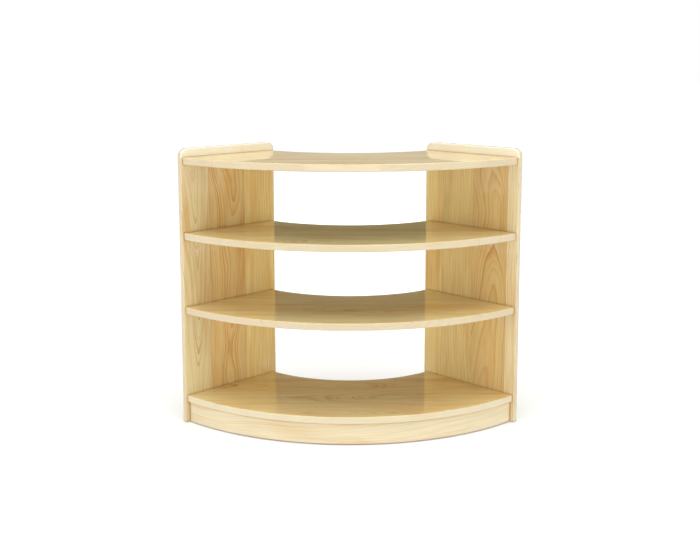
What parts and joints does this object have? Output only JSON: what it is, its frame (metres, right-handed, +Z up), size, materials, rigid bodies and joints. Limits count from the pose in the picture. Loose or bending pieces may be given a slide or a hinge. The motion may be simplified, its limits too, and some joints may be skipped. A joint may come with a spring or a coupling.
{
  "type": "shelving unit",
  "caption": "Open-backed curved shelving unit, a quarter ring in plan, with fixed pine shelves between two side panels that rise above the top shelf.",
  "frame": {"origin": "middle of the unit's bounding box, on the floor", "axes": "+X to the right, +Y towards the concave back, +Z up; the convex front faces -Y"},
  "size_m": [0.8532, 0.3852, 0.7023],
  "materials": {
    "pine_side_panel": "clear satin lacquer",
    "pine_shelf": "clear gloss lacquer",
    "pine_plinth": "clear satin lacquer",
    "beech_dowel": "raw, fluted",
    "zinc_cam": "die-cast, as cast",
    "steel_cam_bolt": "zinc plated",
    "nylon_glide": "moulded"
  },
  "bodies": {
    "root": {"side_panel_left": "pine_side_panel", "side_panel_right": "pine_side_panel", "top_shelf": "pine_shelf", "upper_shelf": "pine_shelf", "lower_shelf": "pine_shelf", "bottom_shelf": "pine_shelf", "front_plinth": "pine_plinth", "rear_plinth": "pine_plinth", "cam_top_left_front": "zinc_cam", "cam_bolt_top_left_front": "steel_cam_bolt", "cam_top_left_back": "zinc_cam", "cam_bolt_top_left_back": "steel_cam_bolt", "dowel_top_left": "beech_dowel", "cam_top_right_front": "zinc_cam", "cam_bolt_top_right_front": "steel_cam_bolt", "cam_top_right_back": "zinc_cam", "cam_bolt_top_right_back": "steel_cam_bolt", "dowel_top_right": "beech_dowel", "cam_upper_left_front": "zinc_cam", "cam_bolt_upper_left_front": "steel_cam_bolt", "cam_upper_left_back": "zinc_cam", "cam_bolt_upper_left_back": "steel_cam_bolt", "dowel_upper_left": "beech_dowel", "cam_upper_right_front": "zinc_cam", "cam_bolt_upper_right_front": "steel_cam_bolt", "cam_upper_right_back": "zinc_cam", "cam_bolt_upper_right_back": "steel_cam_bolt", "dowel_upper_right": "beech_dowel", "cam_lower_left_front": "zinc_cam", "cam_bolt_lower_left_front": "steel_cam_bolt", "cam_lower_left_back": "zinc_cam", "cam_bolt_lower_left_back": "steel_cam_bolt", "dowel_lower_left": "beech_dowel", "cam_lower_right_front": "zinc_cam", "cam_bolt_lower_right_front": "steel_cam_bolt", "cam_lower_right_back": "zinc_cam", "cam_bolt_lower_right_back": "steel_cam_bolt", "dowel_lower_right": "beech_dowel", "cam_bottom_left_front": "zinc_cam", "cam_bolt_bottom_left_front": "steel_cam_bolt", "cam_bottom_left_back": "zinc_cam", "cam_bolt_bottom_left_back": "steel_cam_bolt", "dowel_bottom_left": "beech_dowel", "cam_bottom_right_front": "zinc_cam", "cam_bolt_bottom_right_front": "steel_cam_bolt", "cam_bottom_right_back": "zinc_cam", "cam_bolt_bottom_right_back": "steel_cam_bolt", "dowel_bottom_right": "beech_dowel", "front_plinth_dowel_left_low": "beech_dowel", "front_plinth_dowel_left_high": "beech_dowel", "front_plinth_dowel_right_low": "beech_dowel", "front_plinth_dowel_right_high": "beech_dowel", "rear_plinth_dowel_left_low": "beech_dowel", "rear_plinth_dowel_left_high": "beech_dowel", "rear_plinth_dowel_right_low": "beech_dowel", "rear_plinth_dowel_right_high": "beech_dowel", "glide_left_front": "nylon_glide", "glide_left_back": "nylon_glide", "glide_right_front": "nylon_glide", "glide_right_back": "nylon_glide"}
  },
  "joints": []
}
